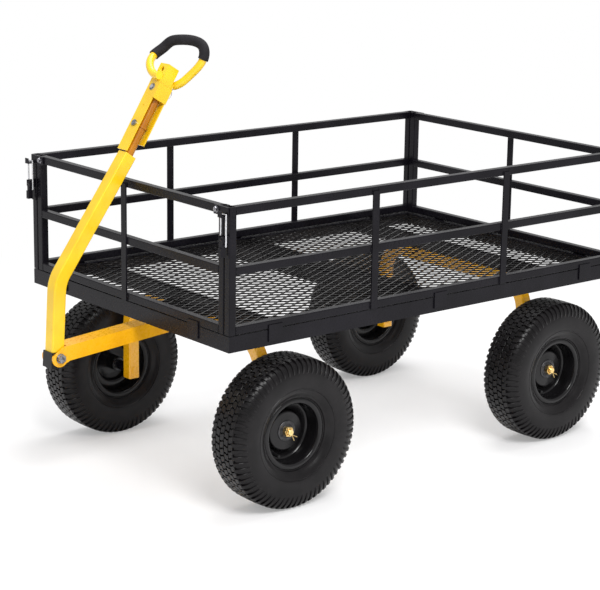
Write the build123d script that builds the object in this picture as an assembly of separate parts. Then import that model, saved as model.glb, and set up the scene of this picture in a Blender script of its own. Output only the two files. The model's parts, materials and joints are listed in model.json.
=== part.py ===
"""Garden cart: expanded-metal deck, four steel side panels, steered front axle, towable handle.

Lengths in millimetres. The cart is laid out about the middle of its deck: +X is forward,
+Y is left, Z is up from the ground. Every piece is moved by x_shift when it is written,
so that the whole cart's box is centred on the origin.
"""
from build123d import *
from math import sin, cos, tan, radians, hypot
import os

# deck frame: angle rim, channels across, expanded-metal sheet
deck_length = 1330
deck_width = 855
rim_top = 470
rim_height = 39
rim_wall = 3
rim_flange = 30
mesh_thick = 2.4
mesh_margin = 5
mesh_border = 22
mesh_web = 8
mesh_cells = (12, 8)
member_width = 21
member_xs = (476.5, 50.5, -39.5, -463.5)

# side panels: square tube rails and posts, flat uprights
tube = 20
tube_wall = 1.6
tube_corner = 2.2
panel_gap = 2
panel_height = 305
mid_rail_up = 142
upright_thick = 4
upright_span = 1 / 3
side_slack = 0.5
corner_gap = 3.5
tab_width = 43
tab_thick = 3
tab_drop = 29
tab_rise = 12
long_tab_xs = (528, -4, -534)
end_tab_y = 286.5

# corner latches
latch_plate = 3
latch_clear = 0.5
latch_pivot_out = 14
latch_pivot_z = 703
latch_pin_r = 3
lever_width = 10
lever_reach = 41
bail_drop = 16
bail_in = 3
bail_wire = 4
bail_half = 9.8
hook_trough_z = 755
hook_width = 14.5
hook_lip = 14
hook_out = 22
hook_bolt_in = 22.5
hook_bolt_flats = 11
hook_washer_r = 8

# wheels and axles
tyre_radius = 190.5
tyre_width = 118
tyre_wall = 6
wheel_y = 373.6
axle_x = 455
rim_radius = 91
rim_seat = 78.5
rim_half = 43
rim_steel = 2.5
disc_radius = 48
well_depth = 16
hub_radius = 20
hub_in = 32
hub_out = 10
bearing_radius = 16
bearing_width = 12
axle_radius = 8
running = 0.08
end_play = 0.1
shoulder_radius = 13
axle_tube = 32
axle_tube_wall = 2.5
axle_bend = 80
axle_corner = 4
leg_y = 284
leg_below = 22.5
front_top = 410
washer_radius = 15
washer_thick = 3
nut_flats = 24
nut_thick = 12.5

# turntable
turn_plate = 6
turn_width = 150
turn_ring = 55
king_radius = 8
king_head = 10
king_head_r = 10.5

# tongue
tongue_height = 38
tongue_drop = 12
tongue_rise = 4.8
tongue_wall = 4
tongue_gap = 41
tongue_bolt_x = 871
tongue_bolt_z = 361
tongue_nose = 22
tongue_web_gap = 1
tongue_bolt_r = 6

# handle
handle_tube_size = 35
handle_wall = 2
handle_lean_low = 3.3
handle_lean_top = 35.5
handle_bend = 90
handle_corner = 4
handle_knee = (862.3, 546.9)
handle_end = (655.55, 836.84)
handle_bottom = 338
cap_wall = 2.5
cap_height = 40

# grip head, along the head's own axis (up) and its front normal
head_lean = 32
yoke_inner = 17.9
yoke_wall = 3.5
yoke_width = 38
yoke_front = (4, 204)
yoke_rear = (35, 204)
yoke_side = (150, 190)
grip_pivot_s = 76
small_hole_s = 125
lock_pin_s = 176
tow_hole_s = 227
draw_radius = 11.5
draw_back = -3
clevis_size = 35
clevis_wall = 4
clevis_span = (152, 242)
pivot_bolt_r = 5
lock_pin_r = 5
tow_hole_r = 6.5
loop_tube_r = 10
foam_r = 13
foam_from, foam_to = 0.245, 0.735
# the grip loop's route as (across, up, forward) of the head: from the front wall, over, to the rear wall
loop_right = ((16, 205, 28.6), (-12, 208, 29), (-44, 235, 29.6), (-54, 262, 19))
loop_over = ((-46, 286, 10), (-35, 303, 8), (-12, 314, 3))
loop_left = ((36, 323, -15), (59, 315, -22), (70, 291, -29), (62, 268, -33), (42, 241, -35),
             (25, 217, -33), (8, 205, -30))

half_l = deck_length / 2
half_w = deck_width / 2
panel_out = half_w + side_slack
rim_bottom = rim_top - rim_height
panel_z = rim_top + panel_gap
panel_top = panel_z + panel_height
foot_x = handle_knee[0] + (handle_knee[1] - handle_bottom) * tan(radians(handle_lean_low))
sleeve_half = handle_tube_size / 2 + cap_wall
front_reach = (foot_x + sleeve_half * cos(radians(handle_lean_low))
               + cap_wall * sin(radians(handle_lean_low)))
rear_reach = half_l + latch_clear + hook_out
hook_bolt_y = panel_out - tube - corner_gap - hook_bolt_in
leg_bottom = tyre_radius - leg_below
tongue_web_x = tongue_bolt_x - sleeve_half - tongue_web_gap
x_shift = (rear_reach - front_reach) / 2


def block(x0, x1, y0, y1, z0, z1):
    """A box from its two corners."""
    return Pos((x0 + x1) / 2, (y0 + y1) / 2, (z0 + z1) / 2) * Box(
        abs(x1 - x0), abs(y1 - y0), abs(z1 - z0))


def ring_section(width, height, wall, corner):
    """The section of a square tube with rounded corners."""
    return RectangleRounded(width, height, corner) - RectangleRounded(
        width - 2 * wall, height - 2 * wall, max(corner - wall, 0.4))


def hollow(x0, x1, y0, y1, z0, z1, wall, axis):
    """A square tube along one axis, open at its ends."""
    size = (x1 - x0, y1 - y0, z1 - z0)
    start = [(x0 + x1) / 2, (y0 + y1) / 2, (z0 + z1) / 2]
    start[axis] -= size[axis] / 2
    along = [0, 0, 0]
    along[axis] = 1
    across = [0, 0, 0]
    across[(axis + 1) % 3] = 1
    plane = Plane(origin=start, x_dir=across, z_dir=along)
    section = ring_section(size[(axis + 1) % 3], size[(axis + 2) % 3], wall, tube_corner)
    return extrude(plane * section, amount=size[axis])


def rod(radius, start, end):
    """A round bar between two points."""
    a, b = Vector(*start), Vector(*end)
    plane = Plane(origin=a, z_dir=b - a)
    return extrude(plane * Circle(radius), amount=(b - a).length)


def hexagon(flats, start, end):
    """A hexagon bar between two points."""
    a, b = Vector(*start), Vector(*end)
    plane = Plane(origin=a, z_dir=b - a)
    return extrude(plane * RegularPolygon(flats / 2, 6, major_radius=False), amount=(b - a).length)


def save(name, *solids):
    """Write one node; several solids stay separate in it."""
    parts = [s for shape in solids for s in shape.solids()]
    node = Compound(children=parts)
    export_step(node.moved(Location((x_shift, 0, 0))), f"parts/{name}.step")
    return node


# ---- deck ----

def deck():
    leg_in = half_w - rim_wall
    flange_in = half_w - rim_flange
    sides, ends = [], []
    for s in (1, -1):
        sides.append(block(-half_l, half_l, s * leg_in, s * half_w, rim_bottom, rim_top)
                     + block(-half_l, half_l, s * flange_in, s * leg_in,
                             rim_top - rim_wall, rim_top))
        ends.append(block(s * (half_l - rim_wall), s * half_l, -leg_in, leg_in,
                          rim_bottom, rim_top - rim_wall)
                    + block(s * (half_l - rim_flange), s * half_l, -flange_in, flange_in,
                            rim_top - rim_wall, rim_top))
    save("rim_side_rails", *sides)
    save("rim_end_rails", *ends)
    mesh_top = rim_top - rim_wall
    sheet_x, sheet_y = half_l - rim_wall - mesh_margin, leg_in - mesh_margin
    sheet = Rectangle(2 * sheet_x, 2 * sheet_y)
    pitch = [2 * (r - mesh_border) / n for r, n in zip((sheet_x, sheet_y), mesh_cells)]
    cells = GridLocations(*pitch, *mesh_cells) * Rectangle(*[p - mesh_web for p in pitch])
    sheet = Sketch() + sheet - cells
    save("deck_mesh", Pos(0, 0, mesh_top - mesh_thick) * extrude(sheet, amount=mesh_thick))
    top = mesh_top - mesh_thick
    members = []
    for x in member_xs:
        w = member_width / 2
        members.append(block(x - w, x + w, -leg_in, leg_in, rim_bottom, top)
                       - block(x - w + rim_wall, x + w - rim_wall, -leg_in, leg_in,
                               rim_bottom, top - rim_wall))
    save("cross_members", *members)


def turntable():
    """Bolster under the deck, wear plate on the front axle, kingpin through both."""
    half = turn_width / 2
    axis = Pos(axle_x, 0, 0)
    face = front_top + turn_plate
    bolster = block(axle_x - half, axle_x + half, -half, half, rim_bottom - turn_plate, rim_bottom)
    bolster += axis * Pos(0, 0, face + end_play) * Cylinder(
        turn_ring, rim_bottom - turn_plate - face - end_play, align=(Align.CENTER, Align.CENTER, Align.MIN))
    bolster -= rod(king_radius, (axle_x, 0, face), (axle_x, 0, rim_bottom))
    save("turntable_bolster", bolster)
    plate = block(axle_x - half, axle_x + half, -half, half, front_top, face)
    plate -= rod(king_radius + running, (axle_x, 0, front_top), (axle_x, 0, face))
    save("turntable_plate", plate)
    under = front_top - axle_tube - end_play
    pin = rod(king_radius, (axle_x, 0, under), (axle_x, 0, rim_bottom))
    pin += rod(king_head_r, (axle_x, 0, rim_bottom), (axle_x, 0, rim_bottom + king_head))
    pin += hexagon(nut_flats, (axle_x, 0, under - nut_thick), (axle_x, 0, under))
    save("kingpin", pin)


# ---- axles and wheels ----

def axle_frame(name, x, top):
    """One square tube bent to an arch, with a stub axle through the foot of each leg."""
    z = top - axle_tube / 2
    path = FilletPolyline((x, -leg_y, leg_bottom), (x, -leg_y, z), (x, leg_y, z),
                          (x, leg_y, leg_bottom), radius=axle_bend)
    plane = Plane(origin=(x, -leg_y, leg_bottom), x_dir=(1, 0, 0), z_dir=(0, 0, 1))
    inner = axle_tube - 2 * axle_tube_wall
    arch = sweep(plane * RectangleRounded(axle_tube, axle_tube, axle_corner), path) - sweep(
        plane * RectangleRounded(inner, inner, axle_corner - axle_tube_wall), path)
    stubs, fasteners = [], []
    face = leg_y + axle_tube / 2
    hub_face = wheel_y - hub_in - end_play
    washer_at = wheel_y + hub_out + end_play
    nut_at = washer_at + washer_thick
    tip = nut_at + nut_thick + 3
    for s in (1, -1):
        def at(y):
            return (x, s * y, tyre_radius)
        stub = rod(axle_radius, at(leg_y - axle_tube / 2), at(tip))
        stub += rod(shoulder_radius, at(face), at(hub_face))
        stub -= rod(1.6, (x, s * (tip - 5), tyre_radius - 20), (x, s * (tip - 5), tyre_radius + 20))
        stubs.append(stub)
        arch -= rod(axle_radius, at(leg_y - axle_tube / 2), at(face))
        fasteners.append(rod(washer_radius, at(washer_at), at(nut_at))
                         - rod(axle_radius, at(washer_at), at(nut_at)))
        nut = hexagon(nut_flats, at(nut_at), at(nut_at + nut_thick)) - rod(
            axle_radius, at(nut_at), at(nut_at + nut_thick))
        for a in (0, 60, 120):
            nut -= Pos(*at(nut_at + nut_thick - 2.2)) * Rotation(0, a, 0) * Box(40, 4.4, 4)
        fasteners.append(nut)
        fasteners.append(rod(1.5, (x, s * (tip - 5), tyre_radius - 14),
                             (x, s * (tip - 5), tyre_radius + 14)))
    if x > 0:
        arch -= rod(king_radius + running, (x, 0, top - axle_tube), (x, 0, top))
    save(f"{name}_axle_frame", arch)
    save(f"{name}_stub_axles", *stubs)
    save(f"{name}_axle_fasteners", *fasteners)


def wheel_section(points):
    """Turn a closed (radius, offset) outline about the wheel's axis."""
    face = make_face(Polyline(*[(r, 0, t) for r, t in points], close=True))
    return revolve(face, axis=Axis.Z, revolution_arc=360)


def tyre():
    """Hollow tyre: crown, rounded shoulders, bulged sidewalls and beads."""
    seat, bead = rim_seat + 0.5, rim_half - rim_steel - 0.1

    def wall(inset):
        r1, h = tyre_radius - inset, tyre_width / 2 - inset
        return [(seat + 36, h - 3), (seat + 54, h), (r1 - 27, h - 2), (r1 - 12, h - 6),
                (r1 - 3, h - 13), (r1, h - 24)]
    side = [(seat, bead - 1.8), (seat + 1, bead - 0.7), (seat + 3.5, bead),
            (rim_radius - 4, bead), (rim_radius - 1.2, bead - 1.7), (rim_radius + 0.4, bead - 1.6),
            (seat + 20, tyre_width / 2 - 10)] + wall(0)
    outer = wheel_section(side + [(r, -t) for r, t in reversed(side)])
    inner, half = wall(tyre_wall), rim_half - rim_steel - 9
    cavity = [(seat - 1, half)] + inner + [(r, -t) for r, t in reversed(inner)] + [
        (seat - 1, -half)]
    return outer - wheel_section(cavity)


def rim():
    """Pressed rim: flanges, bead seat, dished disc and hub tube."""
    h, s = rim_half, rim_steel
    lip = [(rim_seat, h - s - 2), (rim_seat + 1.5, h - s - 0.5), (rim_seat + 4, h - s),
           (rim_radius - 4, h - s), (rim_radius - 1.2, h - s - 1.6), (rim_radius, h - s - 1),
           (rim_radius, h - 1.2), (rim_radius - 1.5, h), (rim_seat + 2, h), (rim_seat - 1.5, h - 2.5),
           (rim_seat - s, h - 6)]
    barrel = lip + [(r, -t) for r, t in reversed(lip)]
    face, well = hub_out, hub_out - well_depth
    disc = [(hub_radius, face - s), (disc_radius - 2, face - s), (disc_radius, face - s - 2),
            (disc_radius + 3, well - s), (rim_seat - s, well - s), (rim_seat - s, well),
            (disc_radius + 3 + s, well), (disc_radius + s, face - 2.5), (disc_radius, face),
            (hub_radius, face)]
    hub = [(bearing_radius, -hub_in), (hub_radius, -hub_in), (hub_radius, hub_out),
           (bearing_radius, hub_out)]
    return wheel_section(barrel) + wheel_section(disc) + wheel_section(hub)


def bearings():
    """Two flanged ball bearings, one in each end of the hub."""
    bore = axle_radius + running
    out = []
    for lo, hi in ((-hub_in, -hub_in + bearing_width), (hub_out - bearing_width, hub_out)):
        out.append(wheel_section([(bore, lo), (bearing_radius, lo), (bearing_radius, hi),
                                  (bore, hi)]))
    return out


def wheels():
    carcass, pressed, rings = tyre(), rim(), bearings()
    for end, x in (("front", axle_x), ("rear", -axle_x)):
        for side, s in (("left", 1), ("right", -1)):
            place = Pos(x, s * wheel_y, tyre_radius) * Rotation(-90 * s, 0, 0)
            save(f"{end}_{side}_tyre", place * carcass)
            save(f"{end}_{side}_rim", place * pressed)
            save(f"{end}_{side}_bearings", *[place * r for r in rings])


# ---- tongue ----

def tongue():
    """Channel from the front crossbar to the handle's bolt, open below and at its nose."""
    back_x = axle_x + axle_tube / 2
    slope = tan(radians(tongue_rise))
    low_x = tongue_bolt_x - 28

    def low(x):
        return tongue_bolt_z - tongue_drop + (tongue_bolt_x - x) * slope

    def outline(top_cut, down):
        up = tongue_height / cos(radians(tongue_rise)) - top_cut
        front = tongue_bolt_x
        return Polyline((back_x, 0, low(back_x) - down), (front, 0, low(front) - down),
                        (front, 0, low(front) + up), (back_x, 0, low(back_x) + up), close=True)
    width = tongue_gap / 2 + tongue_wall
    wide, deep = 2 * width, 4 * tongue_height
    far = tongue_bolt_x + 4 * tongue_nose
    body = extrude(make_face(outline(0, 0)), amount=width, dir=(0, 1, 0), both=True)
    nose = rod(tongue_nose, (tongue_bolt_x, -width, tongue_bolt_z), (tongue_bolt_x, width, tongue_bolt_z))
    body += nose
    body += extrude(make_face(Polyline(
        (low_x, 0, low(low_x)), (tongue_bolt_x, 0, tongue_bolt_z - tongue_nose),
        (tongue_bolt_x + tongue_nose, 0, tongue_bolt_z), (tongue_web_x, 0, low(tongue_web_x) + tongue_height),
        close=True)), amount=width, dir=(0, 1, 0), both=True)
    body -= block(tongue_bolt_x + tongue_nose, far, -wide, wide, tongue_bolt_z - deep,
                  tongue_bolt_z + deep)
    gap = tongue_gap / 2
    body -= extrude(make_face(outline(tongue_wall, deep)), amount=gap, dir=(0, 1, 0), both=True)
    body -= block(tongue_web_x, far, -gap, gap, tongue_bolt_z - deep, tongue_bolt_z + deep)
    body -= block(axle_x, far, -wide, wide, front_top, front_top + deep)
    # the nose runs up to the web's top in one slope
    body -= extrude(make_face(Polyline(
        (tongue_web_x + 4, 0, low(tongue_web_x) + tongue_height + 2),
        (tongue_bolt_x + tongue_nose + 30, 0, low(tongue_web_x) + tongue_height + 2),
        (tongue_bolt_x + tongue_nose + 30, 0, tongue_bolt_z),
        (tongue_bolt_x + tongue_nose * 0.94, 0, tongue_bolt_z + tongue_nose * 0.34),
        close=True)), amount=wide, dir=(0, 1, 0), both=True)
    bolt_at = (tongue_bolt_x, tongue_bolt_z)
    body -= rod(tongue_bolt_r, (bolt_at[0], -wide, bolt_at[1]), (bolt_at[0], wide, bolt_at[1]))
    save("tongue", body)
    bolt = rod(tongue_bolt_r, (bolt_at[0], -width - 14, bolt_at[1]), (bolt_at[0], width, bolt_at[1]))
    bolt += rod(12, (bolt_at[0], width, bolt_at[1]), (bolt_at[0], width + 2, bolt_at[1]))
    bolt += hexagon(19, (bolt_at[0], width + 2, bolt_at[1]), (bolt_at[0], width + 10, bolt_at[1]))
    bolt += hexagon(19, (bolt_at[0], -width, bolt_at[1]), (bolt_at[0], -width - 11, bolt_at[1]))
    save("tongue_bolt", bolt)


# ---- handle ----

def handle():
    knee_x, knee_z = handle_knee
    foot = (foot_x, 0, handle_bottom)
    end = (handle_end[0], 0, handle_end[1])
    path = FilletPolyline(foot, (knee_x, 0, knee_z), end, radius=handle_bend)
    plane = Plane(origin=foot, x_dir=(0, 1, 0),
                  z_dir=Vector(knee_x - foot[0], 0, knee_z - foot[2]))
    inner = handle_tube_size - 2 * handle_wall
    outer = sweep(plane * RectangleRounded(handle_tube_size, handle_tube_size, handle_corner), path)
    bar = outer - sweep(plane * RectangleRounded(inner, inner, handle_corner - handle_wall), path)
    top = Pos(*end) * Rotation(0, -handle_lean_top, 0)
    bar += top * Pos(0, 0, -2) * Box(inner + 1, inner + 1, 4)
    bore = rod(tongue_bolt_r + running, (tongue_bolt_x, -2 * sleeve_half, tongue_bolt_z),
               (tongue_bolt_x, 2 * sleeve_half, tongue_bolt_z))
    save("handle_tube", bar - bore)
    lean = Pos(*foot) * Rotation(0, -handle_lean_low, 0)
    cap = lean * (Pos(0, 0, (cap_height - cap_wall) / 2 - cap_wall / 2) * Box(
        2 * sleeve_half, 2 * sleeve_half, cap_height))
    save("handle_end_cap", cap - outer - bore)
    return outer


def head_place():
    return Pos(handle_end[0], 0, handle_end[1]) * Rotation(0, -head_lean, 0)


def grip():
    head = head_place()
    t, wall = yoke_inner, yoke_wall
    w = yoke_width / 2
    yoke = block(t, t + wall, -w, w, *yoke_front) + block(-t - wall, -t, -w, w, *yoke_rear)
    yoke += block(-t - wall, t + wall, w, w + wall, *yoke_side)
    for s, r in ((grip_pivot_s, pivot_bolt_r + running), (small_hole_s, 2.5),
                 (lock_pin_s, lock_pin_r + running)):
        yoke -= rod(r, (-40, 0, s), (40, 0, s))
    pts = [(p[2], p[0], p[1]) for p in loop_right + loop_over + loop_left]
    route = Spline(*pts)
    start = Plane(origin=route @ 0, z_dir=route % 0)
    loop = sweep(start * Circle(loop_tube_r), route)
    yoke_env = block(-t - wall, t + wall, -w, w, 0, yoke_front[1])
    loop -= yoke_env
    save("grip_yoke", head * yoke)
    save("grip_loop", head * loop)
    cut = route.trim(foam_from, foam_to)
    cut_plane = Plane(origin=cut @ 0, z_dir=cut % 0)
    foam = sweep(cut_plane * Circle(foam_r), cut) - loop
    save("foam_grip", head * foam)


def draw_gear():
    """Tow clevis on a round draw tube, the grip's pivot bolt and the lock pin."""
    head = head_place()
    back = draw_back
    below = Pos(handle_end[0], 0, handle_end[1]) * Rotation(0, -handle_lean_top, 0) * Pos(
        0, 0, -50) * Box(120, 120, 100)
    tube_solid = rod(draw_radius, (back, 0, -6), (back, 0, clevis_span[0]))
    tube_solid += rod(draw_radius + 2.5, (back, 0, grip_pivot_s - 3), (back, 0, grip_pivot_s + 3))
    tube_solid -= rod(pivot_bolt_r, (-40, 0, grip_pivot_s), (40, 0, grip_pivot_s))
    save("draw_tube", head * tube_solid - below)
    h, inner = clevis_size / 2, clevis_size / 2 - clevis_wall
    lo, hi = clevis_span
    clevis = block(-h, h, -h, h, lo, hi) - block(-inner, inner, -inner, inner, lo + 5, hi)
    clevis -= rod(tow_hole_r, (-40, 0, tow_hole_s), (40, 0, tow_hole_s))
    slot = lock_pin_r + 1
    clevis -= block(-h, h, -slot, h, lock_pin_s - slot - 2, lock_pin_s + slot)
    save("tow_clevis", head * clevis)
    out = yoke_inner + yoke_wall
    bolt = rod(pivot_bolt_r, (-out - 7, 0, grip_pivot_s), (out, 0, grip_pivot_s))
    bolt += rod(8, (out + end_play, 0, grip_pivot_s), (out + 4, 0, grip_pivot_s))
    bolt += rod(pivot_bolt_r, (out - 1, 0, grip_pivot_s), (out + 1, 0, grip_pivot_s))
    bolt += hexagon(15, (-out - end_play, 0, grip_pivot_s), (-out - 6, 0, grip_pivot_s))
    save("grip_pivot_bolt", head * bolt)
    pin = rod(lock_pin_r, (-out - 12, 0, lock_pin_s), (out + 3, 0, lock_pin_s))
    save("lock_pin", head * pin)
    r = 9
    ring = Pos(-out - 9, 0, lock_pin_s - r - 4) * Rotation(0, 90, 0) * Torus(r, 1.6)
    save("lock_pin_ring", head * (ring - rod(lock_pin_r, (-out - 12, 0, lock_pin_s), (out, 0, lock_pin_s))))


# ---- side panels ----

def long_panels():
    out, inn = panel_out, panel_out - tube
    rails_z = (panel_z, panel_z + mid_rail_up, panel_top - tube)
    for side, s in (("left", 1), ("right", -1)):
        rails = [hollow(-half_l + tube, half_l - tube, *sorted((s * inn, s * out)), z, z + tube,
                        tube_wall, 0) for z in rails_z]
        tabs = [block(x - tab_width / 2, x + tab_width / 2, s * out, s * (out + tab_thick),
                      rim_top - tab_drop, rim_top + tab_rise) for x in long_tab_xs]
        save(f"{side}_panel_rails", *rails, *tabs)
        posts = [hollow(*sorted((e * (half_l - tube), e * half_l)), *sorted((s * inn, s * out)),
                        panel_z, panel_top, tube_wall, 2) for e in (1, -1)]
        bars = [block(x - tube / 2, x + tube / 2, s * out, s * (out + upright_thick),
                      rim_top + panel_gap, panel_top - tube / 2)
                for x in (half_l * upright_span, -half_l * upright_span)]
        save(f"{side}_panel_posts", *posts, *bars)


def end_panels():
    inner_y = panel_out - tube - corner_gap
    rails_z = (panel_z, panel_z + mid_rail_up, panel_top - tube)
    for end, e in (("front", 1), ("rear", -1)):
        x0, x1 = sorted((e * (half_l - tube), e * half_l))
        rails = [hollow(x0, x1, -inner_y + tube, inner_y - tube, z, z + tube, tube_wall, 1)
                 for z in rails_z]
        tabs = [block(*sorted((e * half_l, e * (half_l + tab_thick))), y - tab_width / 2,
                      y + tab_width / 2, rim_top - tab_drop, rim_top + tab_rise)
                for y in (end_tab_y, -end_tab_y)]
        save(f"{end}_panel_rails", *rails, *tabs)
        posts = [hollow(x0, x1, *sorted((s * (inner_y - tube), s * inner_y)), panel_z, panel_top,
                        tube_wall, 2) for s in (1, -1)]
        bar = block(*sorted((e * half_l, e * (half_l + upright_thick))), -tube / 2, tube / 2,
                    panel_z, panel_top - tube / 2)
        save(f"{end}_panel_posts", *posts, bar)


# ---- latches ----

def latch_parts(e, s):
    """Base, lever, bail and hook of one corner; e is its end, s its side."""
    mid_y = panel_out - tube / 2
    pz, px = latch_pivot_z, half_l + latch_pivot_out
    bx, bz = px - bail_in, pz - bail_drop

    def at(x, y, z):
        return (e * x, s * y, z)

    def cube(x0, x1, y0, y1, z0, z1):
        return block(*sorted((e * x0, e * x1)), *sorted((s * y0, s * y1)), z0, z1)

    def bar(r, p, q):
        return rod(r, at(*p), at(*q))
    lw = lever_width / 2
    base = cube(half_l, half_l + latch_plate, mid_y - 9, mid_y + 9, pz - lever_reach - 5, pz + 4)
    for k in (1, -1):
        y0, y1 = sorted((mid_y + k * (lw + latch_clear), mid_y + k * (lw + latch_clear + 2)))
        base += cube(half_l, px + 5, y0, y1, pz - 8, pz + 8)
    base += bar(latch_pin_r, (px, mid_y - lw - latch_clear, pz), (px, mid_y + lw + latch_clear, pz))
    lever = cube(px - 5, px + 5, mid_y - lw, mid_y + lw, pz - 22, pz)
    lever += bar(6, (px, mid_y - lw, pz), (px, mid_y + lw, pz))
    lever += cube(px - 5, px + 8, mid_y - lw, mid_y + lw, pz - lever_reach, pz - 20)
    lever -= bar(latch_pin_r + running, (px, mid_y - lw, pz), (px, mid_y + lw, pz))
    wire = bail_wire / 2
    lever -= bar(wire + running, (bx, mid_y - lw, bz), (bx, mid_y + lw, bz))
    zt = hook_trough_z + latch_plate + 1 + wire + end_play
    half = bail_half
    ends = []
    for k in (1, -1):
        y = mid_y + k * half
        leg = bar(wire, (bx, y, bz), (bx, y, zt))
        leg += bar(wire, (bx, mid_y + k * (lw - 3), bz), (bx, y, bz))
        leg += Pos(*at(bx, y, bz)) * Sphere(wire)
        leg += Pos(*at(bx, y, zt)) * Sphere(wire)
        ends.append(leg)
    bail = ends[0] + ends[1] + bar(wire, (bx, mid_y - half, zt), (bx, mid_y + half, zt))
    hx = half_l + latch_clear
    hw = hook_width / 2
    hook = cube(hx, hx + latch_plate, hook_bolt_y - 12, mid_y + hw, hook_trough_z, panel_top)
    hook += cube(half_l, hx, hook_bolt_y - 12, hook_bolt_y + 12, hook_trough_z + 9, panel_top)
    hook += cube(hx, hx + hook_out, mid_y - hw, mid_y + hw, hook_trough_z,
                 hook_trough_z + latch_plate)
    hook += cube(hx + hook_out - 2, hx + hook_out, mid_y - hw, mid_y + hw, hook_trough_z,
                 hook_trough_z + hook_lip)
    bolt_z = panel_top - tube / 2
    head = rod(hook_washer_r, at(hx + latch_plate, hook_bolt_y, bolt_z),
               at(hx + latch_plate + 1.5, hook_bolt_y, bolt_z))
    head += hexagon(hook_bolt_flats, at(hx + latch_plate, hook_bolt_y, bolt_z),
                    at(hx + latch_plate + 6, hook_bolt_y, bolt_z))
    return base, lever, bail, hook, head


def latches():
    bases, hooks, bolts = {"left": [], "right": []}, [], []
    for end, e in (("front", 1), ("rear", -1)):
        for side, s in (("left", 1), ("right", -1)):
            base, lever, bail, hook, bolt = latch_parts(e, s)
            bases[side].append(base)
            hooks.append(hook)
            bolts.append(bolt)
            save(f"{end}_{side}_lever", lever)
            save(f"{end}_{side}_bail", bail)
    for side, solids in bases.items():
        save(f"{side}_latch_bases", *solids)
    save("latch_hooks", *hooks)
    save("latch_hook_bolts", *bolts)


os.makedirs("parts", exist_ok=True)
deck()
turntable()
axle_frame("front", axle_x, front_top)
axle_frame("rear", -axle_x, rim_bottom)
wheels()
tongue()
handle()
grip()
draw_gear()
long_panels()
end_panels()
latches()
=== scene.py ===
import json
import math
import random
import bpy
from mathutils import Matrix, Vector


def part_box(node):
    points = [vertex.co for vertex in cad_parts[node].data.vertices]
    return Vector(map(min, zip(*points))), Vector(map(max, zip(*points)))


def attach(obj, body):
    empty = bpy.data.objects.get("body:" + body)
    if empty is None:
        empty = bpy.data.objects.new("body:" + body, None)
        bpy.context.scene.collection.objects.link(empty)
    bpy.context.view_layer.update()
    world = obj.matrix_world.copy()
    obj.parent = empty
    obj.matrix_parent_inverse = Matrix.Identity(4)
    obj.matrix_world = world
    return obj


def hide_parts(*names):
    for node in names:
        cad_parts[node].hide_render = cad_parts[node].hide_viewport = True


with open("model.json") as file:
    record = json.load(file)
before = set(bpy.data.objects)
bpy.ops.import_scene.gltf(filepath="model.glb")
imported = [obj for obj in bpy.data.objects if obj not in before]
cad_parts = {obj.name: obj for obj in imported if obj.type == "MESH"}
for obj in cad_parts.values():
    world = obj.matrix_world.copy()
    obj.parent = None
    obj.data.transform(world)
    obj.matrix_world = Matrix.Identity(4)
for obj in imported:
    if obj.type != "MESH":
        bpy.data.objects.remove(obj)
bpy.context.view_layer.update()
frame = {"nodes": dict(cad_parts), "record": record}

MM = 0.001
nodes, record = frame["nodes"], frame["record"]
rng = random.Random(11)


# ---- places read from the frame ----

def middle(node):
    """Centre of a CAD node's box."""
    lo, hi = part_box(node)
    return Vector([(a + b) / 2 for a, b in zip(lo, hi)])


WHEELS = {}
for end in ("front", "rear"):
    for side in ("left", "right"):
        name = f"{end}_{side}"
        WHEELS[name] = middle(f"{name}_tyre")


# ---- shader maths ----

class Sock:
    """A node socket that adds Math or Vector Math nodes when it is used in an expression."""

    def __init__(self, mat, socket):
        self.mat, self.socket = mat, socket

    def _math(self, operation, *values):
        return self.mat.node("ShaderNodeMath", {"operation": operation}, list(values))

    def __add__(self, other):
        return self._math("ADD", self, other)

    __radd__ = __add__

    def __sub__(self, other):
        return self._math("SUBTRACT", self, other)

    def __rsub__(self, other):
        return self._math("SUBTRACT", other, self)

    def __mul__(self, other):
        return self._math("MULTIPLY", self, other)

    __rmul__ = __mul__

    def __truediv__(self, other):
        return self._math("DIVIDE", self, other)

    def __pow__(self, other):
        return self._math("POWER", self, other)

    def clamp(self, low, high):
        """0 at low, 1 at high, smooth between."""
        return self.mat.node("ShaderNodeMapRange", {"interpolation_type": "SMOOTHSTEP"},
                             {"Value": self, "From Min": low, "From Max": high,
                              "To Min": 0.0, "To Max": 1.0})

    def mix(self, low, high):
        """A colour between two, by this mask."""
        return self.mat.node("ShaderNodeMix", {"data_type": "RGBA"},
                             {0: self, 6: low, 7: high}, 2)


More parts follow.
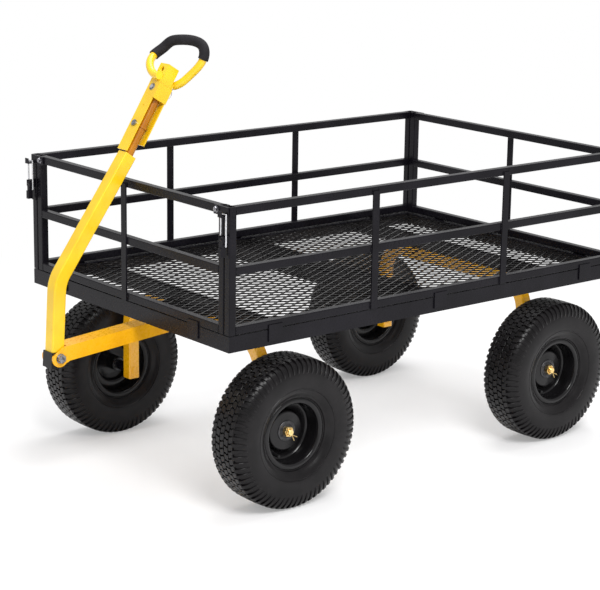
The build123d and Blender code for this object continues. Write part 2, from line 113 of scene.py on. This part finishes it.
class Material:
    """One material with a Principled shader, built from expressions."""

    def __init__(self, name, **fixed):
        self.material = bpy.data.materials.new(name)
        self.material.use_nodes = True
        self.tree = self.material.node_tree
        self.shader = self.tree.nodes["Principled BSDF"]
        for key, value in fixed.items():
            self.set(key.replace("_", " "), value)

    def node(self, kind, settings=None, values=(), out=0):
        made = self.tree.nodes.new(kind)
        for key, value in (settings or {}).items():
            if key == "stops":
                ramp = made.color_ramp.elements
                while len(ramp) < len(value):
                    ramp.new(0.5)
                for element, (place, colour) in zip(ramp, value):
                    element.position, element.color = place, colour
            else:
                setattr(made, key, value)
        pairs = values.items() if isinstance(values, dict) else enumerate(values)
        for key, value in pairs:
            self._feed(made.inputs[key], value)
        return Sock(self, made.outputs[out])

    def _feed(self, socket, value):
        if isinstance(value, Sock):
            self.tree.links.new(value.socket, socket)
        elif value is not None:
            if isinstance(value, tuple) and len(value) == 3 and len(socket.default_value) == 4:
                value = (*value, 1.0)
            socket.default_value = value

    def set(self, name, value):
        self._feed(self.shader.inputs[name], value)

    def place(self):
        return self.node("ShaderNodeTexCoord", out=3)

    def split(self, vector):
        node = self.tree.nodes.new("ShaderNodeSeparateXYZ")
        self.tree.links.new(vector.socket, node.inputs[0])
        return [Sock(self, node.outputs[i]) for i in range(3)]

    def noise(self, scale, detail=3.0, rough=0.55, at=None, out=0):
        return self.node("ShaderNodeTexNoise", {},
                         {"Vector": at or self.place(), "Scale": scale, "Detail": detail,
                          "Roughness": rough}, out)

    def bump(self, height, strength, distance=0.001):
        self.set("Normal", self.node("ShaderNodeBump", {},
                                     {"Height": height, "Strength": strength,
                                      "Distance": distance}))


def coat(name, low, high, rough, peel=0.12, coat_weight=0.0, dust=0.0, **fixed):
    """Powder coat: slight colour drift, orange-peel surface, a little settled dust."""
    m = Material(name, Coat_Roughness=0.18, **fixed)
    drift = m.noise(9, 4).clamp(0.35, 0.7)
    colour = drift.mix(low, high)
    if dust:
        up = m.split(m.node("ShaderNodeNewGeometry", out=1))[2].clamp(0.4, 0.95)
        speck = m.noise(60, 5, 0.7).clamp(0.42, 0.72)
        colour = (up * speck * dust).mix(colour, (0.34, 0.32, 0.30))
    m.set("Base Color", colour)
    m.set("Roughness", m.noise(140, 2) * 0.12 + (rough - 0.06))
    if coat_weight:
        m.set("Coat Weight", coat_weight)
    m.bump(m.noise(900, 2), peel, 0.0006)
    return m.material


def metal(name, low, high, rough):
    """Plated steel: cloudy spangle and fine rolling marks."""
    m = Material(name, Metallic=1.0)
    cloud = m.noise(160, 4, 0.6).clamp(0.3, 0.72)
    m.set("Base Color", cloud.mix(low, high))
    m.set("Roughness", cloud * 0.16 + rough)
    m.bump(m.noise(700, 3), 0.15, 0.0004)
    return m.material


def rubber(name, low, high, rough, grain, strength, shine=0.24):
    """Rubber or foam: mottled, with a fine grain."""
    m = Material(name, Specular_IOR_Level=shine)
    mottled = m.noise(26, 5, 0.65).clamp(0.3, 0.75)
    m.set("Base Color", mottled.mix(low, high))
    m.set("Roughness", m.noise(70, 3) * 0.16 + (rough - 0.08))
    m.bump(m.noise(grain, 3, 0.7), strength, 0.001)
    return m.material


black_coat = coat("black powder coat", (0.0040, 0.0035, 0.0054), (0.0074, 0.0066, 0.0096), 0.28,
                  dust=0.02, Specular_IOR_Level=0.14)
mesh_coat = coat("black mesh coat", (0.0045, 0.0040, 0.0042), (0.0110, 0.0098, 0.0100), 0.22,
                 Specular_IOR_Level=0.32)
yellow_coat = coat("yellow powder coat", (0.80, 0.50, 0.004), (0.92, 0.61, 0.008), 0.30,
                   peel=0.03, coat_weight=0.30)
# a darker, more orange copy of the yellow for the tongue, axle frames and stub welds: painted shade from
# the deck above them
shaded_chassis_coat = coat("yellow chassis coat with painted shade", (0.80, 0.365, 0.003), (0.92, 0.46, 0.006), 0.28, peel=0.03,
                    coat_weight=0.35)
# a deeper, browner copy of the yellow for the draw tube: painted shade from inside the yoke
shaded_tube_coat = coat("yellow coat with deep painted shade", (0.40, 0.14, 0.002), (0.56, 0.23, 0.004), 0.26, peel=0.03,
                  coat_weight=0.25, Specular_IOR_Level=0.3)
rim_coat = coat("black rim coat", (0.0040, 0.0038, 0.0042), (0.0075, 0.0070, 0.0078), 0.20,
                Specular_IOR_Level=0.28)
zinc = metal("bright zinc", (0.52, 0.53, 0.55), (0.80, 0.80, 0.82), 0.22)
gold_zinc = metal("yellow zinc", (0.66, 0.42, 0.13), (0.95, 0.76, 0.38), 0.22)
steel = metal("bearing steel", (0.045, 0.045, 0.048), (0.11, 0.11, 0.115), 0.34)
foam = rubber("grip foam", (0.010, 0.009, 0.011), (0.020, 0.018, 0.021), 0.80, 620, 0.5)
# a darker copy of the zinc for the tongue, pivot and latch bolts and the lock pin boss: painted dark
# reflection
dark_reflection_zinc = metal("zinc with painted dark reflection", (0.16, 0.16, 0.175), (0.46, 0.46, 0.48), 0.20)
plastic = rubber("black plastic", (0.006, 0.006, 0.0065), (0.011, 0.011, 0.012), 0.42, 240, 0.12)
tyre_rubber = rubber("tyre rubber", (0.0034, 0.0029, 0.0034), (0.0080, 0.0068, 0.0076), 0.31, 420, 0.16,
                     shine=0.21)

FINISH = {"frame_black": black_coat, "mesh_black": mesh_coat, "yellow": yellow_coat,
          "zinc": zinc, "gold_zinc": gold_zinc, "bearing_steel": steel, "foam": foam,
          "black_plastic": plastic, "tyre": tyre_rubber}
# the draw tube takes the yellow copy with deep painted shade
# the tongue and axle frames take the yellow copy with painted shade
OWN_FINISH = {"draw_tube": shaded_tube_coat, "tongue": shaded_chassis_coat, "front_axle_frame": shaded_chassis_coat,
              # the bolts take the darker zinc copy, which paints a dark reflection
              "rear_axle_frame": shaded_chassis_coat, "tongue_bolt": dark_reflection_zinc, "grip_pivot_bolt": dark_reflection_zinc,
              "latch_hook_bolts": dark_reflection_zinc}
for part in record["subparts"]:
    node = nodes[part["node"]]
    for slot in node.material_slots:
        slot.material = OWN_FINISH.get(part["node"], FINISH[part["material_slot"]])


# ---- modelling helpers ----

def clear():
    if bpy.context.object and bpy.context.object.mode == "EDIT":
        bpy.ops.object.mode_set(mode="OBJECT")
    bpy.ops.object.select_all(action="DESELECT")


def grab(obj):
    clear()
    obj.select_set(True)
    bpy.context.view_layer.objects.active = obj
    return obj


def fix(obj):
    """Apply the place, turn and size, so that the object sits at the origin."""
    grab(obj)
    bpy.ops.object.transform_apply(location=True, rotation=True, scale=True)
    return obj


def apply_all(obj):
    grab(obj)
    for modifier in list(obj.modifiers):
        bpy.ops.object.modifier_apply(modifier=modifier.name)
    return obj


def outward(obj, merge=1e-5):
    grab(obj)
    bpy.ops.object.mode_set(mode="EDIT")
    bpy.ops.mesh.select_all(action="SELECT")
    if merge:
        bpy.ops.mesh.remove_doubles(threshold=merge)
    bpy.ops.mesh.normals_make_consistent(inside=False)
    bpy.ops.object.mode_set(mode="OBJECT")
    return obj


def smooth(obj, degrees=35):
    grab(obj)
    bpy.ops.object.shade_smooth_by_angle(angle=math.radians(degrees))
    return obj


def finish_piece(obj, name, material, body, angle=35):
    """Give a piece its name, material and shading, and attach it to its body."""
    obj.name = name
    obj.data.materials.clear()
    obj.data.materials.append(material)
    smooth(obj, angle)
    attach(obj, body)
    return obj


def join(objects, name):
    clear()
    for obj in objects:
        obj.select_set(True)
    bpy.context.view_layer.objects.active = objects[0]
    if len(objects) > 1:
        bpy.ops.object.join()
    objects[0].name = name
    return fix(objects[0])


def copy(obj, matrix=None):
    made = obj.copy()
    made.data = obj.data.copy()
    bpy.context.scene.collection.objects.link(made)
    if matrix:
        made.data.transform(matrix)
    return made


def cube(size, at, turn=(0, 0, 0)):
    clear()
    bpy.ops.mesh.primitive_cube_add(size=1, location=at, rotation=turn)
    obj = bpy.context.object
    obj.scale = size
    return fix(obj)


def cylinder(radius, length, at, turn=(0, 0, 0), sides=32):
    clear()
    bpy.ops.mesh.primitive_cylinder_add(radius=radius, depth=length, vertices=sides,
                                        location=at, rotation=turn)
    return fix(bpy.context.object)


def bevel(obj, width, segments=2, angle=30):
    mod = obj.modifiers.new("edge", "BEVEL")
    mod.width, mod.segments, mod.limit_method = width, segments, "ANGLE"
    mod.angle_limit = math.radians(angle)
    return apply_all(obj)


def mirrored(outline):
    """An outline followed by its own reflection, for a piece with two like sides."""
    return outline + [(r, -t) for r, t in reversed(outline)]


def lathe(points, steps):
    """Spin a closed (radius, offset) outline in millimetres about +Y; it starts as a plain ring."""
    clear()
    bpy.ops.mesh.primitive_circle_add(vertices=len(points), fill_type="NOTHING")
    obj = bpy.context.object
    for vertex, (r, t) in zip(obj.data.vertices, points):
        vertex.co = (0, t * MM, r * MM)
    bpy.ops.object.mode_set(mode="EDIT")
    bpy.ops.mesh.select_all(action="SELECT")
    bpy.ops.mesh.spin(steps=steps, angle=2 * math.pi, center=(0, 0, 0), axis=(0, 1, 0))
    bpy.ops.object.mode_set(mode="OBJECT")
    return outward(obj)


# ---- deck: flattened expanded metal ----

CELL_LONG, CELL_SHORT = 50.5 * MM, 26.7 * MM
STRAND, BOND = 3.1 * MM, 11.2 * MM
BOND_WIDTH = 1.4 * STRAND
# the strands' height against the plain sheet's, their lean, and how far they're lifted
STRAND_RISE = 1.42
STRAND_TILT = math.radians(6)
MESH_LIFT = 0.25 * MM


def expanded_mesh():
    """One bond with its two strands is modelled, then laid out in rows over the deck."""
    lo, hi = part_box("deck_mesh")
    tall = (hi[2] - lo[2]) * STRAND_RISE
    half_long, half_short = CELL_LONG / 2, CELL_SHORT / 2
    slant = math.atan2(half_short, half_long)
    length = math.hypot(half_long, half_short)
    strands = [cube((length + STRAND * 0.3, STRAND, tall), (half_long / 2, s * half_short / 2, 0),
                    (STRAND_TILT, 0, s * slant)) for s in (1, -1)]
    bond = cube((BOND, BOND_WIDTH, tall), (0, 0, 0), (STRAND_TILT, 0, 0))
    cell = join(strands + [bond], "deck_mesh_strands")
    columns = int((hi[0] - lo[0]) / half_long) - 1
    rows = int((hi[1] - lo[1]) / CELL_SHORT) - 1
    stagger = copy(cell, Matrix.Translation((half_long, half_short, 0)))
    field = join([cell, stagger], "deck_mesh_strands")
    for count, step in ((columns // 2 + 1, (CELL_LONG, 0, 0)), (rows, (0, CELL_SHORT, 0))):
        mod = field.modifiers.new("rows", "ARRAY")
        mod.count, mod.use_relative_offset, mod.use_constant_offset = count, False, True
        mod.constant_offset_displace = step
    apply_all(field)
    z = lo[2] + tall / 2 + MESH_LIFT
    xs = [v.co.x for v in field.data.vertices]
    ys = [v.co.y for v in field.data.vertices]
    field.location = ((lo[0] + hi[0] - max(xs) - min(xs)) / 2,
                      (lo[1] + hi[1] - max(ys) - min(ys)) / 2, z)
    fix(field)
    finish_piece(field, "deck_mesh_strands", mesh_coat, "deck", 20)
    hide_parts("deck_mesh")


expanded_mesh()


# ---- wheels ----

def ring_copies(obj, count, merge=2e-6):
    """Repeat a piece round the wheel's axis."""
    grab(obj)
    bpy.ops.object.mode_set(mode="EDIT")
    bpy.ops.mesh.select_all(action="SELECT")
    bpy.ops.mesh.spin(steps=count, angle=2 * math.pi, dupli=True, center=(0, 0, 0), axis=(0, 1, 0))
    bpy.ops.object.mode_set(mode="OBJECT")
    return outward(obj, merge)


def raised(obj, by):
    """Turn a sheet into a solid by pushing a copy of it down."""
    grab(obj)
    bpy.ops.object.mode_set(mode="EDIT")
    bpy.ops.mesh.select_all(action="SELECT")
    bpy.ops.mesh.extrude_region_move(TRANSFORM_OT_translate={"value": by})
    bpy.ops.mesh.select_all(action="SELECT")
    bpy.ops.mesh.normals_make_consistent(inside=False)
    bpy.ops.object.mode_set(mode="OBJECT")
    return obj


def grid(columns, rows):
    clear()
    bpy.ops.mesh.primitive_grid_add(x_subdivisions=columns, y_subdivisions=rows, size=1)
    return fix(bpy.context.object)


BLOCKS, LUGS = 64, 70
# the offset and the width of each row of blocks, in millimetres like the four sizes under it
TREAD_ROWS = ((-32.2, 14.0), (-16.2, 14.2), (0, 14.4), (16.2, 14.2), (32.2, 14.0))
TREAD_DEPTH, TREAD_HALF = 6, 40
WAIST, EDGE = 133, 33


class Tyre:
    """The tyre's main sizes in millimetres, and its round shoulder."""

    def __init__(self, node):
        lo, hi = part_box(node)
        self.outer = (hi[2] - lo[2]) / 2 / MM
        self.half = (hi[1] - lo[1]) / 2 / MM - 0.4

    def shoulder(self, degrees, height=0.0):
        """Radius and offset on the shoulder: 0 at the widest place, 90 at the tread."""
        up, out = math.sin(math.radians(degrees)), math.cos(math.radians(degrees))
        return (WAIST + (self.outer - TREAD_DEPTH - WAIST) * up ** 0.8 + height * up,
                EDGE + (self.half - EDGE) * out ** 0.8 + height * out)


def carcass_master(tyre):
    """Bead, fitting ring, bulged wall and shoulder, the same on both sides."""
    bead = [(79, 33), (79, 39), (82, 40.2), (90.5, 40.3), (92.4, 41.2), (94, 44.5), (96.5, 45.4),
            (99, 47.2), (103.5, 51), (110, 54.2), (114.6, 55.6), (115.4, 56.9), (116.8, 57.4),
            (117.6, 56.7), (118.4, 56.95)]
    side = bead + [tyre.shoulder(a) for a in (0, 14, 27, 39, 50, 60, 70, 80, 90)]
    return lathe(mirrored(side), 132)


def tread_row(tyre, row):
    """One ring of tread blocks with wavy ends; each second row is half a block ahead."""
    offset, width = TREAD_ROWS[row]
    odd = row % 2
    pitch = 2 * math.pi * tyre.outer / BLOCKS
    block = grid(1, 5)
    for v in block.data.vertices:
        across = v.co.y
        place = offset + across * width
        wave = math.sin(2 * math.pi * across) * (1 if odd else -1)
        crown = 1.6 * (place / TREAD_HALF) ** 2
        v.co = (v.co.x * pitch * 0.79 + wave * pitch * 0.08, place, tyre.outer - 0.3 - crown)
    block.data.transform(Matrix.Scale(MM, 4))
    raised(block, (0, 0, -6.5 * MM))
    bevel(block, 0.6 * MM, 1, 50)
    block.data.transform(Matrix.Rotation(odd * math.pi / BLOCKS, 4, "Y"))
    return ring_copies(block, BLOCKS)


def shoulder_lugs(tyre, s):
    """One ring of lugs that run from the tread down over a shoulder and fade out."""
    pitch = 2 * math.pi * tyre.outer / LUGS
    lug = grid(1, 6)
    for v in lug.data.vertices:
        inward = 0.5 - v.co.y
        r, t = tyre.shoulder(84 - 62 * inward, 1.3 + 4.0 * (1 - inward))
        thick = pitch * (0.60 - 0.30 * inward)
        sweep = s * pitch * 0.5 * (0.5 - inward) ** 2
        v.co = (math.copysign(thick / 2, v.co.x) * r / tyre.outer + sweep, s * t, r)
    lug.data.transform(Matrix.Scale(MM, 4))
    raised(lug, (0, -s * 3.2 * MM, -4.6 * MM))
    bevel(lug, 0.55 * MM, 1, 50)
    return ring_copies(lug, LUGS)


def tyre_master():
    """Carcass, tread blocks and shoulder lugs."""
    tyre = Tyre("front_left_tyre")
    pieces = [carcass_master(tyre)]
    pieces += [tread_row(tyre, row) for row in range(len(TREAD_ROWS))]
    pieces += [shoulder_lugs(tyre, s) for s in (1, -1)]
    return join(pieces, "tyre_master")


def rim_master():
    """Pressed rim: rolled flanges, barrel, dished disc with a raised ring, and the hub."""
    flange = [(75.5, 12), (75.5, 34), (76.2, 38.5), (78.0, 41.4), (81, 42.8), (84.5, 42.9), (88, 42.2),
              (90.3, 41.0), (90.9, 39.8), (90.2, 39.0), (88.6, 39.4), (86, 40.3), (81, 40.3),
              (78.6, 38.6), (78.2, 30)]
    barrel = lathe(mirrored(flange), 96)
    disc = [(19.6, 9.9), (24, 9.9), (26, 9.2), (45.5, 9.2), (48.5, 8.6), (50.6, 6.6), (51.6, 3.6),
            (52.2, -1.5), (53.6, -4.4), (56.5, -5.9), (71, -5.9), (74, -4.6), (75.9, -2),
            (75.9, -6.5), (73, -8.4), (55.5, -8.4), (51.6, -6.6), (49.6, -2.8), (48.9, 2.4),
            (47.8, 5.0), (45.5, 6.4), (19.6, 6.8)]
    plate = lathe(disc, 96)
    hub = [(16.05, -31.9), (18.6, -31.9), (19.9, -30.8), (19.9, 9.0), (18.8, 9.95), (16.05, 9.95)]
    return join([barrel, plate, lathe(hub, 64)], "rim_master")


def valve_stem():
    """Rubber valve stem with its ridged cap, standing in the rim's dish."""
    foot = cylinder(6.5 * MM, 5 * MM, (0, 0, 0), sides=20)
    stem = cylinder(4.6 * MM, 22 * MM, (0, 0, 11 * MM), sides=20)
    cap = cylinder(4.2 * MM, 10 * MM, (0, 0, 26 * MM), sides=12)
    for piece in (foot, stem, cap):
        bevel(piece, 0.9 * MM, 2)
    return join([foot, stem, cap], "valve_master")


def nut_master():
    """Castle nut on the axle's tip, its face at the origin and its axis along +Y."""
    turn = (math.radians(90), 0, 0)
    body = cylinder(13.7 * MM, 9 * MM, (0, 4.5 * MM, 0), turn, 6)
    bevel(body, 0.9 * MM, 2, 50)
    crown = cylinder(10.6 * MM, 3.4 * MM, (0, 10.6 * MM, 0), turn, 48)
    for k in range(3):
        gap = cube((30 * MM, 5 * MM, 3.6 * MM), (0, 11.4 * MM, 0), (0, k * math.pi / 3, 0))
        grab(crown)
        mod = crown.modifiers.new("slot", "BOOLEAN")
        mod.object, mod.operation = gap, "DIFFERENCE"
        apply_all(crown)
        bpy.data.objects.remove(gap)
    bevel(crown, 0.35 * MM, 1, 50)
    tip = lathe([(0.4, 0), (8.2, 0), (8.2, 14.9), (7.2, 16.0), (0.4, 16.2)], 32)
    return join([body, crown, tip], "nut_master")


def pin_master():
    """Cotter pin through the nut's slots: an eye on one side, two splayed prongs on the other."""
    wire, slot = 1.1 * MM, 11.2 * MM
    parts = []
    for k in (1, -1):
        parts.append(cylinder(wire, 24 * MM, (k * 1.0 * MM, slot, -1 * MM), sides=10))
        splay = (math.radians(14), -k * math.radians(24), 0)
        parts.append(cylinder(wire, 13 * MM, (k * 3.4 * MM, 12.6 * MM, -18.2 * MM), splay, 10))
    clear()
    bpy.ops.mesh.primitive_torus_add(major_radius=3.1 * MM, minor_radius=1.15 * MM, major_segments=20,
                                     minor_segments=8, location=(0, slot, 13.6 * MM),
                                     rotation=(math.radians(90), 0, 0))
    parts.append(fix(bpy.context.object))
    return join(parts, "pin_master")


def washers_master():
    """Dust cover with its lip, and a flat washer, between the bearing and the nut."""
    dust_cover = [(8.1, -2.9), (25.4, -2.9), (26.2, -2.3), (25.2, -1.3), (23.4, -1.1), (22.2, -2.0),
                  (19.8, -2.0), (19.0, -0.9), (17.6, -0.6), (16.4, -1.6), (8.1, -1.6)]
    flat_washer = [(8.1, -1.5), (15.6, -1.5), (15.6, -0.5), (15.0, -0.05), (8.1, -0.05)]
    return join([lathe(outline, 48) for outline in (dust_cover, flat_washer)], "washers")


NUT_STAND = 12.5 * MM
VALVE_SEAT = Vector((0, -5, 63)) * MM
VALVE_TURN, VALVE_LEAN, PIN_TURN = math.radians(148), math.radians(-86), math.radians(40)
WHEEL_STEP, NUT_START, NUT_STEP = 0.37, 0.3, 0.2


def about_axle(angle):
    return Matrix.Rotation(angle, 4, "Y")


def outward_side(centre):
    """The turn that points a master's outer face away from the cart."""
    return Matrix.Rotation(0 if centre.y > 0 else math.pi, 4, "Z")


def dress_wheel(n, name, centre):
    """Tyre and rim of one wheel, turned by an angle of its own, and the valve stem in the dish."""
    hub = Matrix.Translation(centre) @ outward_side(centre)
    place = hub @ about_axle(WHEEL_STEP * n)
    wheel = f"{name}_wheel"
    carcass = finish_piece(copy(masters["tyre"], place), f"{name}_tyre_tread", tyre_rubber,
                           wheel, 38)
    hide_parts(f"{name}_tyre")
    pressed = finish_piece(copy(masters["rim"], place), f"{name}_rim_pressing", rim_coat,
                           wheel, 42)
    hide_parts(f"{name}_rim")
    seat = hub @ about_axle(VALVE_TURN) @ Matrix.Translation(VALVE_SEAT)
    stem = copy(masters["valve"], seat @ Matrix.Rotation(VALVE_LEAN, 4, "X"))
    finish_piece(stem, f"{name}_valve_stem", plastic, wheel, 40)


def dress_axle_end(n, name, centre):
    """Washers, castle nut and cotter pin that keep one wheel on its stub axle."""
    end = name.split("_")[0]
    axle = "front_axle" if end == "front" else "deck"
    face = math.copysign(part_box(f"{end}_axle_fasteners")[1][1] - NUT_STAND, centre.y)
    seat = Matrix.Translation((centre.x, face, centre.z)) @ outward_side(centre)
    finish_piece(copy(masters["washers"], seat), f"{name}_axle_washers", steel, axle, 30)
    nut = copy(masters["nut"], seat @ about_axle(NUT_START + NUT_STEP * n))
    finish_piece(nut, f"{name}_axle_nut", gold_zinc, axle, 30)
    pin = copy(masters["pin"], seat @ about_axle(PIN_TURN))
    finish_piece(pin, f"{name}_cotter_pin", gold_zinc, axle, 40)
    if centre.y > 0:
        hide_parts(f"{end}_axle_fasteners")


masters = {"tyre": tyre_master(), "rim": rim_master(), "valve": valve_stem(), "nut": nut_master(),
           "pin": pin_master(), "washers": washers_master()}
for number, (wheel_name, wheel_centre) in enumerate(WHEELS.items()):
    dress_wheel(number, wheel_name, wheel_centre)
    dress_axle_end(number, wheel_name, wheel_centre)
for master in masters.values():
    bpy.data.objects.remove(master)


# ---- welds ----

RAIL, PANEL, MID_RAIL = 20 * MM, 305 * MM, 142 * MM
WELD_INSET = 4 * MM


def bead_master(length, radius):
    """A weld bead up +Z from the origin: overlapping drops of uneven size."""
    drops = []
    for i in range(int(length / (radius * 1.1)) + 1):
        clear()
        bpy.ops.mesh.primitive_ico_sphere_add(
            subdivisions=1, radius=radius * rng.uniform(0.85, 1.1),
            location=(rng.uniform(-0.12, 0.12) * radius, 0, i * radius * 1.1))
        drops.append(bpy.context.object)
    return join(drops, "bead_master")


def bead_places():
    """Where each body's upright beads stand: beside every upright and post, at every rail."""
    places = {}
    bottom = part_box("left_panel_posts")[1][2] - PANEL
    rails = (bottom, bottom + MID_RAIL, bottom + PANEL - RAIL)
    for side, s in (("left", 1), ("right", -1)):
        lo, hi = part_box(f"{side}_panel_posts")
        face = (hi[1] if s > 0 else lo[1]) - s * WELD_INSET
        mid, half = (lo[0] + hi[0]) / 2, (hi[0] - lo[0]) / 2
        xs = [mid + k * half / 3 + d for k in (1, -1) for d in (RAIL / 2, -RAIL / 2)]
        xs += [mid + k * (half - RAIL) for k in (1, -1)]
        places[f"{side}_panel"] = [(x, face, z) for x in xs for z in rails]
    ends = []
    for end, s in (("front", 1), ("rear", -1)):
        lo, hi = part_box(f"{end}_panel_posts")
        face = (hi[0] if s > 0 else lo[0]) - s * WELD_INSET
        ys = [RAIL / 2, -RAIL / 2, hi[1] - RAIL, lo[1] + RAIL]
        ends += [(face, y, z) for y in ys for z in rails]
    places["deck"] = ends
    return places


def welds():
    bead = bead_master(RAIL - 2 * MM, 1.25 * MM)
    for body, places in bead_places().items():
        beads = [copy(bead, Matrix.Translation((x, y, z + 1 * MM))) for x, y, z in places]
        finish_piece(join(beads, f"{body}_welds"), f"{body}_welds", black_coat, body, 60)
    bpy.data.objects.remove(bead)


def stub_plugs():
    """The painted weld that closes each axle leg over the end of its stub axle."""
    for end, body in (("front", "front_axle"), ("rear", "deck")):
        lo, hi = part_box(f"{end}_axle_frame")
        tube = hi[0] - lo[0]
        for side, s in (("left", 1), ("right", -1)):
            wheel = WHEELS[f"{end}_{side}"]
            cap = lathe([(0.3, 0), (9.6, 0), (10.6, -1.0), (8.4, -1.9), (0.3, -1.6)], 28)
            cap.data.transform(Matrix.Translation((wheel.x, s * (hi[1] - tube), wheel.z))
                               @ Matrix.Rotation(math.pi * (1 - s) / 2, 4, "Z"))
            # the chassis yellow used here carries painted shade
            finish_piece(outward(cap), f"{end}_{side}_stub_weld", shaded_chassis_coat, body, 50)


YOKE_FACE, PIN_TAIL = 25.95 * MM, 25.5 * MM
CLIP_BENDS = [(0, 0), (6, -3), (10, 3), (8.5, 11), (4.5, 17), (6.5, 24), (4.5, 31), (-0.5, 35), (-5, 32)]


def lock_pin_boss(pin, back):
    """A pressed ring on the yoke, round the lock pin's front hole."""
    boss = lathe([(5.6, 0), (9.2, 0), (8.9, 1.3), (6.4, 1.9), (5.6, 1.5)], 36)
    face_forward = (-back).to_track_quat("Z", "Y").to_matrix().to_4x4()
    boss.data.transform(Matrix.Translation(pin - back * YOKE_FACE) @ face_forward
                        @ Matrix.Rotation(math.radians(90), 4, "X"))
    # the darker zinc here paints a dark reflection
    finish_piece(outward(boss), "lock_pin_boss", dark_reflection_zinc, "grip", 40)


def lock_pin_clip(pin, back):
    """A bent wire clip that stands up from the lock pin's tail, each bend a little further across."""
    up = back.cross(Vector((0, -1, 0)))
    across = Vector((0, 0.35, 0))
    tail = pin + back * PIN_TAIL
    route = [tail + (back * b + up * u + across * i) * MM for i, (b, u) in enumerate(CLIP_BENDS)]
    clear()
    bpy.ops.curve.primitive_bezier_curve_add()
    curve = bpy.context.object.data
    curve.bevel_depth, curve.bevel_resolution = 1.1 * MM, 3
    curve.use_fill_caps, curve.resolution_u = True, 6
    line = curve.splines[0]
    line.bezier_points.add(len(route) - len(line.bezier_points))
    for point, spot in zip(line.bezier_points, route):
        point.co = spot
        point.handle_left_type = point.handle_right_type = "AUTO"
    bpy.ops.object.convert(target="MESH")
    clip = finish_piece(bpy.context.object, "lock_pin_clip", zinc, "lock_pin", 50)
    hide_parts("lock_pin_ring")


def lock_pin_trim():
    slide = next(j for j in record["behaviour"]["joints"] if j["name"] == "lock_pin_slide")
    back = Vector(slide["axis"]).normalized()
    pin = middle("lock_pin")
    lock_pin_boss(pin, back)
    lock_pin_clip(pin, back)


welds()
stub_plugs()
lock_pin_trim()


# ---- floor, light and camera ----

ROOM_LIGHT = 0.72


def stage():
    """A pale floor that fades to plain white, with a white glow that paints light into its shadows near
    the cart, and a white room that looks brighter than it lights.
    """
    clear()
    bpy.ops.mesh.primitive_plane_add(size=80, location=(0, 0, 0))
    ground = bpy.context.object
    ground.name = "floor"
    m = Material("pale floor", Roughness=0.9, Specular_IOR_Level=0.1)
    m.set("Base Color", (0.93, 0.925, 0.93))
    x, y, _ = m.split(m.place())
    # camera rays see at least 0.3 white glow even beside the cart, painted light that lightens the
    # shadows; from 1 to 2.4 m out it turns fully white
    far = ((x * x + y * y) ** 0.5).clamp(1.0, 2.4) * 0.7 + 0.3
    white = m.node("ShaderNodeEmission", {}, {"Color": (1, 1, 1, 1), "Strength": 1.0})
    body = Sock(m, m.shader.outputs[0])
    ray = m.node("ShaderNodeLightPath")
    mixed = m.node("ShaderNodeMixShader", {}, {0: far * ray, 1: body, 2: white})
    m.tree.links.new(mixed.socket, m.tree.nodes["Material Output"].inputs["Surface"])
    ground.data.materials.append(m.material)
    world = bpy.data.worlds.new("studio")
    bpy.context.scene.world = world
    world.use_nodes = True
    tree = world.node_tree
    back = tree.nodes["Background"]
    back.inputs["Color"].default_value = (1, 1, 1, 1)
    seen = tree.nodes.new("ShaderNodeLightPath")
    power = tree.nodes.new("ShaderNodeMath")
    power.operation = "MULTIPLY_ADD"
    power.inputs[1].default_value, power.inputs[2].default_value = 1 - ROOM_LIGHT, ROOM_LIGHT
    tree.links.new(seen.outputs["Is Camera Ray"], power.inputs[0])
    tree.links.new(power.outputs[0], back.inputs["Strength"])


def lamp(name, at, target, size, energy):
    """A round soft lamp that points at its target."""
    data = bpy.data.lights.new(name, "AREA")
    data.shape, data.size, data.energy = "DISK", size, energy
    obj = bpy.data.objects.new(name, data)
    bpy.context.scene.collection.objects.link(obj)
    obj.location = at
    obj.rotation_euler = (Vector(target) - Vector(at)).to_track_quat("-Z", "Y").to_euler()


def camera():
    """Camera at the front left, higher than the cart, with a long lens."""
    data = bpy.data.cameras.new("camera")
    data.sensor_width, data.lens = 36, 117.66
    data.clip_end = 200
    obj = bpy.data.objects.new("camera", data)
    bpy.context.scene.collection.objects.link(obj)
    turn, tilt, roll = math.radians(140.7), math.radians(14.1), math.radians(0.86)
    right = Vector((math.cos(turn), math.sin(turn), 0))
    back = Vector((math.sin(turn) * math.cos(tilt), -math.cos(turn) * math.cos(tilt),
                   math.sin(tilt)))
    up = back.cross(right)
    across = right * math.cos(roll) + up * math.sin(roll)
    upright = up * math.cos(roll) - right * math.sin(roll)
    at = Vector((3.317 + middle("rim_side_rails").x, 3.925, 1.676))
    turned = Matrix((across, upright, back)).transposed().to_4x4()
    obj.matrix_world = Matrix.Translation(at) @ turned
    bpy.context.scene.camera = obj


stage()
lamp("key", (1.5, 3.5, 4.2), (0, 0, 0.4), 2.2, 190)
lamp("top", (-1.0, -0.5, 4.5), (0, 0, 0.4), 3.0, 110)
camera()
bpy.context.scene.view_settings.view_transform = "Standard"
